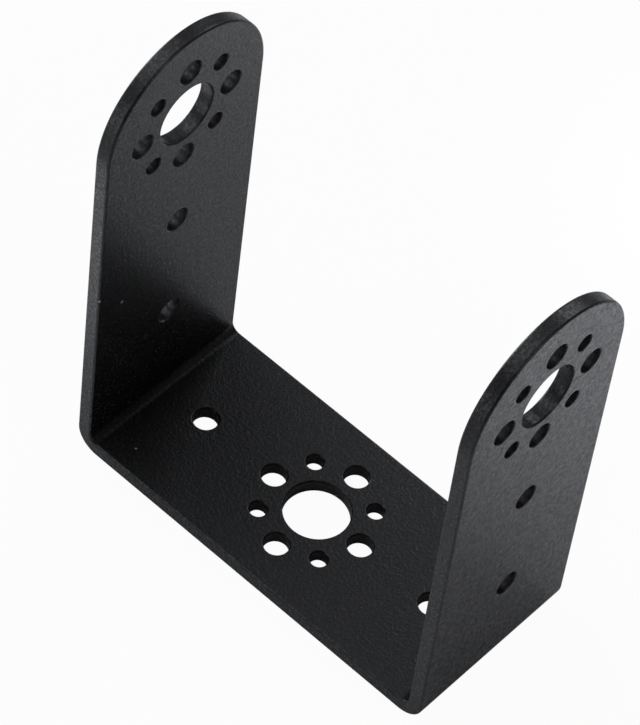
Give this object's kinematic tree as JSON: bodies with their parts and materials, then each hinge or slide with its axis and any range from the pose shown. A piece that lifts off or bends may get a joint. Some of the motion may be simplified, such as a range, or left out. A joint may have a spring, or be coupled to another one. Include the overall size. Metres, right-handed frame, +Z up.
{
  "type": "servo bracket",
  "caption": "U-shaped servo bracket folded from one sheet, with round arm tips and the same horn hole pattern on its base and both arms.",
  "frame": {"origin": "centre of the base's underside", "axes": "+Z up along the arms, X along the base from arm to arm, Y across the strip's width"},
  "size_m": [0.0558, 0.025, 0.0645],
  "materials": {
    "black_coat": "matte black powder coat with a fine grain, on folded aluminium sheet"
  },
  "bodies": {
    "root": {"u_bracket": "black_coat"}
  },
  "joints": []
}
